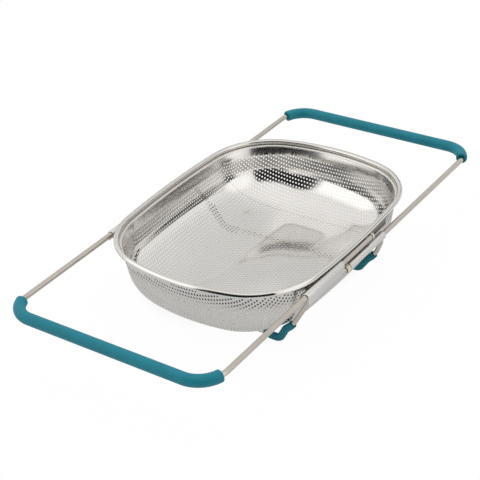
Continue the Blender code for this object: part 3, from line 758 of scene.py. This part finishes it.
def round_the_bowl(section, directions, inset):
    """A closed section of insets and heights carried round the outline, and its normals.

    A normal is (out cos fold, out sin fold, up) for its direction's out and up. The folds are those of
    the outline at one inset.
    """
    shares, sign_x, sign_y = outline_loop()
    depth, height = np.array(section).T[:, :, None]
    x, y, _, _ = outline_at(shares, depth)
    rows = np.stack([x * sign_x + BOWL_X, y * sign_y, height + 0 * x], axis=-1)
    _, _, fold, _ = outline_at(shares, inset)
    out, up = directions.T[:, :, None]
    normals = np.stack([np.cos(fold) * sign_x * out, np.sin(fold) * sign_y * out, up + 0 * fold], axis=-1)
    return grid_faces(rows, True), normals


def arc_points(centre, radius, start, stop, steps):
    """Points centre + radius (-cos a, sin a), for even steps of the angle a."""
    angles = np.radians(np.linspace(start, stop, steps))
    return [(centre[0] - radius * math.cos(a), centre[1] + radius * math.sin(a)) for a in angles]


def build_lip():
    """A closed section with both faces of the sheet: outer face up, lip bend, flange, and back inside.

    A face's normal is its direction along the section, turned by a right angle. The inner face leans up
    as the top of the sheet does.
    """
    bend = (LIP_INSET - LIP_BEND, FLANGE_Z - LIP_BEND)
    section = [(LIP_INSET, SHEET_TOP_Z - LAP)]
    section += arc_points(bend, LIP_BEND, 180, 90, 8)
    section += arc_points((FLANGE_INSET + SHEET / 2, FLANGE_Z + SHEET / 2), SHEET / 2, -90, 90, 7)
    section += arc_points(bend, LIP_BEND + SHEET, 90, 180, 10)
    inner = len(section) - 1
    section += [(LIP_INSET + SHEET, SHEET_TOP_Z - LAP)]
    along = np.gradient(np.array(section), axis=0)
    along[0] = (0, 1)
    along[inner:] = (0, -1)
    surface, normals = round_the_bowl(section, unit(along)[:, ::-1], LIP_INSET)
    normals[inner:, :, 2] += LEANS[-1]
    make_piece("bowl_band", surface, sheet_steel, "basket", "bowl_basket", unit(normals))


build_lip()

# Rim bead
# The bright roll of polished stainless steel that the hand meets, closed over the flange all the way
# round. It is a flattened oval, 5.2 mm wide, and its outer shoulder is rolled a little flat.
BEAD_HALF_WIDTH = 0.0026
BEAD_RISE = 0.0024
BEAD_GAP = 0.00005
BEAD_POWER = 2.1
SHOULDER_ANGLE = math.radians(25)
SHOULDER_PULL = 1.2
RIM_COLOUR = (0.77, 0.755, 0.725)


def build_bead():
    """Superellipse |u|^2.1 + |v|^2.1 = 1 carried round the outline.

    Its shading normals are drawn together round the shoulder's: each is shifted by SHOULDER_PULL times
    its own share along it.
    """
    turns = np.linspace(0, 2 * math.pi, 36, endpoint=False)
    across = np.sign(np.cos(turns)) * np.abs(np.cos(turns)) ** (2 / BEAD_POWER)
    up = np.sign(np.sin(turns)) * np.abs(np.sin(turns)) ** (2 / BEAD_POWER)
    low = FLANGE_Z + SHEET + BEAD_GAP
    top = BEAD_Z + BEAD_RISE
    half = (top - low) / 2
    section = np.stack([BEAD_HALF_WIDTH * (1 - across), (low + top) / 2 + half * up], axis=1)
    away = unit(np.stack([across / BEAD_HALF_WIDTH, up / half], axis=1))
    shoulder = np.array([math.cos(SHOULDER_ANGLE), math.sin(SHOULDER_ANGLE)])
    away = unit(away + SHOULDER_PULL * np.maximum(away @ shoulder, 0)[:, None] * shoulder)
    surface, normals = round_the_bowl(section, away, BEAD_HALF_WIDTH)
    rim_steel = steel("rim_steel", RIM_COLOUR, 0.09, (0.15, 0.15, 1.0))
    make_piece("rim_bead", surface, rim_steel, "basket", "rim_ring", normals)


build_bead()

# Handles
# Two U-shaped handles bent from 5.7 mm stainless wire, polished, with rounded ends. A tube of teal
# silicone is pushed over each bar and a little way round its bends, and grips the edge of the sink.
ROD_RADIUS = 0.00285
FRONT_ROD_Y = 0.11995
REAR_ROD_Y = 0.11885
FRONT_ROD_Z = 0.0681
REAR_ROD_Z = 0.0561
HANDLE_BEND = 0.0286
FRONT_BAR_X = BOWL_X - 0.2601
REAR_BAR_X = BOWL_X + 0.2512
FRONT_REACH = 0.285
REAR_STOP_X = BOWL_X - 0.0283
REAR_REACH = REAR_BAR_X - REAR_STOP_X + 0.0054
WIRE_ROUNDING = 0.0007
RUNNING_GAP = 0.0003
SLEEVE_MOUTH = 0.00025
LIP_STEPS = 7
GRIP_RADIUS = 0.0062
GRIP_LIP = 0.0011
GRIP_SETBACK = 0.020
WIRE_COLOUR = (0.67, 0.625, 0.57)
TEAL = (0.004, 0.195, 0.262)


def soft_plastic(name, colour, roughness):
    """Matt moulded plastic or rubber, with a faint powdery mottle and a very fine skin."""
    made = Nodes(name)
    mottle = made.noise(made.object_place(), 60, 4)
    skin = made.noise(made.object_place(), 1400, 2)
    dark = tuple(c * 0.90 for c in colour)
    light = tuple(c * 1.06 for c in colour)
    made.set(base_color=made.ramp(mottle, (0.3, dark), (0.7, light)), metallic=0.0, specular_ior_level=0.30,
             roughness=made.range(mottle, 0.3, 0.7, roughness - 0.03, roughness + 0.05),
             normal=made.bump(skin, 0.25, 0.00004))
    return made.material


wire_steel = steel("wire_steel", WIRE_COLOUR, 0.10, (0.03, 1.0, 1.0), tint_depth=0.12)
teal_silicone = soft_plastic("teal_silicone", TEAL, 0.46)


def rounded_path(corners, radii):
    """A polyline with each inner corner rounded by an arc of its own radius.

    The arc is start + radius (sin a arrive + (1 - cos a) inward), from the arriving direction.
    """
    corners = [np.array(corner, dtype=float) for corner in corners]
    points = [corners[:1]]
    for before, corner, after, radius in zip(corners, corners[1:], corners[2:], radii):
        arrive = unit(corner - before)
        leave = unit(after - corner)
        turn = math.acos(float(np.clip(arrive @ leave, -1, 1)))
        if turn < 1e-4:
            points.append([corner])
            continue
        inward = unit(leave - arrive * (arrive @ leave))
        start = corner - arrive * radius * math.tan(turn / 2)
        angle = np.linspace(0, turn, max(4, int(turn * 20)))[:, None]
        points.append(start + radius * (np.sin(angle) * arrive + (1 - np.cos(angle)) * inward))
    return np.concatenate(points + [corners[-1:]])


def read_along(places, path, field):
    """A field of vectors at the path's points, read between them at distances along the path."""
    along = lengths_along(path)
    return np.stack([np.interp(places, along, column) for column in field.T], axis=-1)


def dense(path, step=0.004):
    """The same path with extra points on its straight stretches."""
    along = lengths_along(path)
    places = np.unique(np.concatenate([along, np.arange(0, along[-1], step)]).round(6))
    return read_along(places, path, path)


def frames_along(path):
    """Two cross directions at each point, turned as little as possible along the path."""
    tangent = unit(np.gradient(path, lengths_along(path), axis=0))
    first = np.cross(tangent[0], (0, 0, 1))
    if np.linalg.norm(first) < 0.1:
        first = np.cross(tangent[0], (1, 0, 0))
    side = [unit(first)]
    for t in tangent[1:]:
        side.append(unit(side[-1] - t * (side[-1] @ t)))
    side = np.array(side)
    return side, np.cross(tangent, side)


def swept_tube(path, profile, sides, closed):
    """Rings centre + radius (cos a side + sin a other) at the profile's distances along the path.

    They get flat caps unless the profile is closed.
    """
    places, radii = np.array(profile).T
    side, other = frames_along(path)
    turns = np.linspace(0, 2 * math.pi, sides, endpoint=False)[:, None]
    u = unit(read_along(places, path, side))[:, None]
    v = unit(read_along(places, path, other))[:, None]
    centre = read_along(places, path, path)[:, None]
    return grid_faces(centre + radii[:, None, None] * (np.cos(turns) * u + np.sin(turns) * v), closed)


def outside(path, start, stop, radius, rounding, clear, steps):
    """Distances and radii between two rounded edges, with a ring at each point of the path between them.

    An edge is a quarter circle: its distances are r (1 - cos a) and its radii radius - r (1 - sin a).
    """
    edge = [(rounding * (1 - math.cos(a)), radius - rounding + rounding * math.sin(a))
            for a in np.linspace(0, math.pi / 2, steps)]
    between = [(place, radius) for place in lengths_along(path) if start + clear < place < stop - clear]
    return ([(start + place, r) for place, r in edge] + between
            + [(stop - place, r) for place, r in edge[::-1]])


def wire_profile(path, radius):
    """Distances and radii of a solid wire with rounded ends."""
    return outside(path, 0, lengths_along(path)[-1], radius, WIRE_ROUNDING, WIRE_ROUNDING * 1.2, 5)


def sleeve_profile(path, start, stop, outer, bore, lip):
    """Closed profile of a sleeve: rounded lip, outside, rounded lip, and back through the bore."""
    out = outside(path, start, stop, outer, lip, lip * 1.1, LIP_STEPS)
    back = [(stop, bore + SLEEVE_MOUTH), (stop - SLEEVE_MOUTH, bore)]
    back += [(place, bore) for place, _ in out[LIP_STEPS:-LIP_STEPS][::-1]]
    return out + back + [(start + SLEEVE_MOUTH, bore), (start, bore + SLEEVE_MOUTH)]


def build_handle(end, bar_x, rod_y, rod_z, reach, way):
    """One bent rod, from tip to tip round its bar, and the silicone tube on the bar.

    way is the direction along X from the bar to the tips.
    """
    tip = bar_x + way * reach
    corners = [(tip, -rod_y, rod_z), (bar_x, -rod_y, rod_z), (bar_x, rod_y, rod_z), (tip, rod_y, rod_z)]
    path = dense(rounded_path(corners, (HANDLE_BEND, HANDLE_BEND)))
    along = lengths_along(path)
    body = end + "_handle"
    make_piece(end + "_rod", swept_tube(path, wire_profile(path, ROD_RADIUS), 32, False), wire_steel,
               body, end + "_handle_rod")
    half = len(path) // 2
    start = float(np.interp(-GRIP_SETBACK, -(path[:half, 0] - bar_x) * way, along[:half]))
    profile = sleeve_profile(path, start, along[-1] - start, GRIP_RADIUS, ROD_RADIUS + RUNNING_GAP, GRIP_LIP)
    make_piece(end + "_grip_tube", swept_tube(path, profile, 40, True), teal_silicone,
               body, end + "_grip")


build_handle("front", FRONT_BAR_X, FRONT_ROD_Y, FRONT_ROD_Z, FRONT_REACH, 1)
build_handle("rear", REAR_BAR_X, REAR_ROD_Y, REAR_ROD_Z, REAR_REACH, -1)

# Stops on the rod ends
# Thin steel collars pressed on the tips of the front rods keep these in their guides. On the rear rods
# cream nylon bushings do so, and stand against the ends of the tubes when the handle is out.
FRONT_COLLAR_LENGTH = 0.003
FRONT_COLLAR_RADIUS = 0.0037
FRONT_COLLAR_X = FRONT_BAR_X + FRONT_REACH - 0.001 - FRONT_COLLAR_LENGTH
REAR_BUSHING_LENGTH = 0.006
REAR_BUSHING_RADIUS = 0.0040
COLLAR_LIP = 0.0005
SATIN_COLOUR = (0.82, 0.805, 0.785)
CREAM = (0.78, 0.72, 0.60)
SIDES = (("near", -1), ("far", 1))

satin_steel = steel("satin_steel", SATIN_COLOUR, 0.18, (0.05, 1.0, 1.0), tint_depth=0.08)
cream_nylon = soft_plastic("cream_nylon", CREAM, 0.40)


def short_tube(x, length, y, z, radius, lip, points=3, sides=36):
    """A straight sleeve along X on a rod."""
    path = np.linspace((x, y, z), (x + length, y, z), points)
    profile = sleeve_profile(path, 0, length, radius, ROD_RADIUS + RUNNING_GAP, lip)
    return swept_tube(path, profile, sides, True)


for label, side in SIDES:
    collar = short_tube(FRONT_COLLAR_X, FRONT_COLLAR_LENGTH, side * FRONT_ROD_Y, FRONT_ROD_Z,
                        FRONT_COLLAR_RADIUS, COLLAR_LIP)
    make_piece("front_collar_" + label, collar, satin_steel, "front_handle",
               "front_stop_" + label)
    bushing = short_tube(REAR_STOP_X, REAR_BUSHING_LENGTH, side * REAR_ROD_Y, REAR_ROD_Z,
                         REAR_BUSHING_RADIUS, COLLAR_LIP)
    make_piece("rear_bushing_" + label, bushing, cream_nylon, "rear_handle",
               "rear_stop_" + label)

# Guides and straps
# On each long side a flat steel strip carries a guide of sheet rolled round the front rod, with a skirt
# that hangs down outside, and a short tube for the rear rod. Two straps bent from sheet, spot welded at
# both ends, hold the strip to the plain band. Strip and straps are dull, painted dark for the shade they lie
# in.
FRONT_FOOT_X = -RIM_HALF_LENGTH * 0.6295
REAR_FOOT_X = RIM_HALF_LENGTH * 0.3327
PLATE_INNER_Y = 0.1144
PLATE_THICKNESS = 0.0012
PLATE_BOTTOM_Z = 0.0609
PLATE_HEIGHT = 0.0085
PLATE_FRONT_X = FRONT_FOOT_X - 0.0065
PLATE_REAR_X = REAR_FOOT_X + 0.009
SHEET_ROUNDING = 0.0003
GUIDE_WALL = 0.0009
GUIDE_RADIUS = ROD_RADIUS + RUNNING_GAP + GUIDE_WALL / 2
GUIDE_LENGTH = 0.066
GUIDE_LIP_ANGLE = 212
SKIRT_DROP = 0.0082
TUBE_LENGTH = 0.069
TUBE_SETBACK = 0.004
TUBE_RADIUS = 0.0045
TUBE_LIP = 0.0004
TAB_THICKNESS = 0.0008
TAB_HEIGHT = 0.0065
TAB_LEG = 0.003
TAB_BEND = 0.0012
TAB_ROUNDING = 0.00025
TAB_OFF = 0.0003 + TAB_THICKNESS / 2
# Each strap's end, its foot's place, and how far behind it the strap meets the band and the strip
TABS = (("front", FRONT_FOOT_X, 0.0145, 0.004), ("rear", REAR_FOOT_X, 0.011, 0.001))
# Strip and straps are painted this dark for the shade they lie in.
PLATE_SHADE_COLOUR = (0.30, 0.28, 0.26)

# Dull steel with painted shade in its dark colour.
shaded_plate_steel = steel("shaded_plate_steel", PLATE_SHADE_COLOUR, 0.34, (0.05, 1.0, 1.0), tint_depth=0.15)


def half_width_at(inset, x):
    """Distance from the long axis to the outline of one inset, at a place along the bowl."""
    xs, ys, _, _ = outline_at(np.linspace(0, 3, 1200), inset)
    return float(np.interp(abs(x), xs, ys))


def swept_strip(path, wide, thickness, width, rounding):
    """A sheet strip: a rectangle with rounded corners swept along the path, its width kept along wide.

    A ring's point is centre + (c + r cos a) thin + (d + r sin a) wide, with (c, d) the centre of the
    corner's arc. The rings shrink towards both ends, which rounds the ends' edges.
    """
    path = np.array(path)
    along = lengths_along(path)
    clear = rounding * 1.5
    spots = [(0, rounding), (rounding * 0.3, rounding * 0.3), (rounding, 0)]
    spots += [(place, 0) for place in along if clear < place < along[-1] - clear]
    spots += [(along[-1] - place, shrink) for place, shrink in spots[2::-1]]
    places, shrink = np.array(spots).T
    tangent = unit(np.gradient(path, along, axis=0))
    thin = np.cross(wide, unit(read_along(places, path, tangent)))[:, None]
    bend = np.maximum(rounding - shrink, 0.00002)
    turns = (np.arange(4)[:, None] * math.pi / 2 + np.linspace(0, math.pi / 2, 4)).ravel()
    over_thin = ((thickness / 2 - shrink - bend)[:, None] * np.repeat((1, -1, -1, 1), 4)
                 + bend[:, None] * np.cos(turns))
    over_wide = ((width / 2 - shrink - bend)[:, None] * np.repeat((1, 1, -1, -1), 4)
                 + bend[:, None] * np.sin(turns))
    centre = read_along(places, path, path)[:, None]
    return grid_faces(centre + over_thin[..., None] * thin + over_wide[..., None] * wide, False)


def build_guides(label, side):
    """Strip, rolled guide, tube guide and two straps of one side. side is -1 for the near one."""
    middle = (side * (PLATE_INNER_Y + PLATE_THICKNESS / 2), PLATE_BOTTOM_Z + PLATE_HEIGHT / 2)
    path = np.linspace((BOWL_X + PLATE_FRONT_X, *middle), (BOWL_X + PLATE_REAR_X, *middle), 24)
    plate = swept_strip(path, (0, 0, 1), PLATE_THICKNESS, PLATE_HEIGHT, SHEET_ROUNDING)
    make_piece("plate_" + label, plate, shaded_plate_steel, "basket", "slide_plate_" + label)

    guide_x = BOWL_X + PLATE_FRONT_X + GUIDE_LENGTH / 2
    turns = np.radians(np.linspace(GUIDE_LIP_ANGLE, 0, 40))
    path = [(guide_x, side * (FRONT_ROD_Y + GUIDE_RADIUS * math.cos(a)),
             FRONT_ROD_Z + GUIDE_RADIUS * math.sin(a)) for a in turns]
    path += [(guide_x, side * (FRONT_ROD_Y + GUIDE_RADIUS), FRONT_ROD_Z - drop)
             for drop in np.linspace(0, SKIRT_DROP, 8)[1:]]
    make_piece("guide_roll_" + label, swept_strip(path, (1, 0, 0), GUIDE_WALL, GUIDE_LENGTH, SHEET_ROUNDING),
               satin_steel, "basket", "rolled_guide_" + label)

    tube = short_tube(BOWL_X + REAR_FOOT_X - TUBE_SETBACK - TUBE_LENGTH, TUBE_LENGTH, side * REAR_ROD_Y,
                      REAR_ROD_Z, TUBE_RADIUS, TUBE_LIP, 30, 40)
    make_piece("guide_tube_" + label, tube, satin_steel, "basket", "tube_guide_" + label)

    lie = PLATE_INNER_Y - TAB_OFF
    z = PLATE_BOTTOM_Z + PLATE_HEIGHT - TAB_HEIGHT / 2
    for end, foot, band, plate in TABS:
        leg = math.copysign(TAB_LEG, plate - band)
        corners = [(x, half_width_at(LIP_INSET, x) + TAB_OFF) for x in (foot + band, foot + band + leg)]
        corners += [(foot + plate - leg, lie), (foot + plate, lie)]
        path = rounded_path([(x + BOWL_X, side * y, z) for x, y in corners], (TAB_BEND, TAB_BEND))
        make_piece("strap_" + end + "_" + label,
                   swept_strip(path, (0, 0, 1), TAB_THICKNESS, TAB_HEIGHT, TAB_ROUNDING),
                   shaded_plate_steel, "basket", "hanger_tab_" + end + "_" + label)


for label, side in SIDES:
    build_guides(label, side)

# Feet
# Each foot is one steel wire. It drops from its guide, follows the wall, bends into a toe on the table
# and runs under the floor to the other side. Silicone sleeves cover the knees and toes and stand on the
# table, where they are pressed a little flat.
WIRE_RADIUS = 0.0025
SLEEVE_RADIUS = 0.0040
SLEEVE_LIP = 0.0007
SLEEVE_TOP_Z = 0.0265
SLEEVE_HOOK = 0.0095
STANDOFF = 0.0019
ELBOW_Z = 0.032
KNEE_Z = 0.0174
TOE_Z = 0.0036
CROSSBAR_Z = 0.0053
TOE_LENGTH = 0.0093
HOOK_RUN = 0.008
SHOULDER_BEND = 0.006
WALL_BEND = 0.012
TOE_BEND = 0.007
HOOK_BEND = 0.010
# Each foot's end and place, the top of its wire, the drop from there, and how far its toe stands in
FEET = (("front", FRONT_FOOT_X, (FRONT_FOOT_X, 0.1203, 0.06465), 0.0038, 0.0078),
        ("rear", REAR_FOOT_X, (REAR_FOOT_X - 0.0068, REAR_ROD_Y, 0.0513), 0.0026, 0.0102))


def beside_wall(x, z):
    """Distance from the long axis to the wire's centre line where it runs beside the wall.

    STANDOFF is measured square to the wall, whose slope is how far it draws in over a small height.
    """
    def wall_y(height):
        """Distance from the long axis to the wall's outer face."""
        return half_width_at(float(np.interp(height, HEIGHTS, INSETS)), x)

    step = 0.0008
    draw_in = wall_y(z) - wall_y(z - step)
    return wall_y(z) + (STANDOFF + WIRE_RADIUS) * math.hypot(draw_in, step) / step


def build_foot(end, x, top, seat, lean):
    """One wire from side to side and the two sleeves on it.

    The route of one half starts at top, drops by seat, and its toe stands lean inside its knee.
    """
    toe_y = beside_wall(x, KNEE_Z) - lean
    heights = np.linspace(ELBOW_Z, KNEE_Z, 4)
    corners = [top, (top[0], top[1], top[2] - seat)]
    corners += [(x, beside_wall(x, z), z) for z in heights]
    hook_y = toe_y - TOE_LENGTH
    corners += [(x, toe_y, TOE_Z), (x, hook_y, TOE_Z), (x, hook_y - HOOK_RUN, CROSSBAR_Z), (x, 0, CROSSBAR_Z)]
    radii = [SHOULDER_BEND] + [WALL_BEND] * 3 + [TOE_BEND] * 2 + [HOOK_BEND] * 2
    route = rounded_path(corners, radii)
    whole = dense(np.concatenate([route[:-1] * (1, -1, 1), route[:-1][::-1]]) + (BOWL_X, 0, 0))
    make_piece(end + "_foot_bar", swept_tube(whole, wire_profile(whole, WIRE_RADIUS), 28, False), wire_steel,
               "basket", end + "_foot_wire")
    for label, side in SIDES:
        path = dense(route * (1, side, 1) + (BOWL_X, 0, 0), 0.001)
        along = lengths_along(path)
        start = float(np.interp(-SLEEVE_TOP_Z, -path[:, 2], along))
        toe_end = side * path[path[:, 2] <= TOE_Z + 1e-7][-1][1]
        stop = float(np.interp(SLEEVE_HOOK - toe_end, -side * path[:, 1], along))
        profile = sleeve_profile(path, start, stop, SLEEVE_RADIUS, WIRE_RADIUS + RUNNING_GAP, SLEEVE_LIP)
        points, faces = swept_tube(path, profile, 32, True)
        points[:, 2] = np.maximum(points[:, 2], 0)
        make_piece("sleeve_" + end + "_" + label, (points, faces), teal_silicone, "basket",
                   "foot_sleeve_" + end + "_" + label)


for foot in FEET:
    build_foot(*foot)
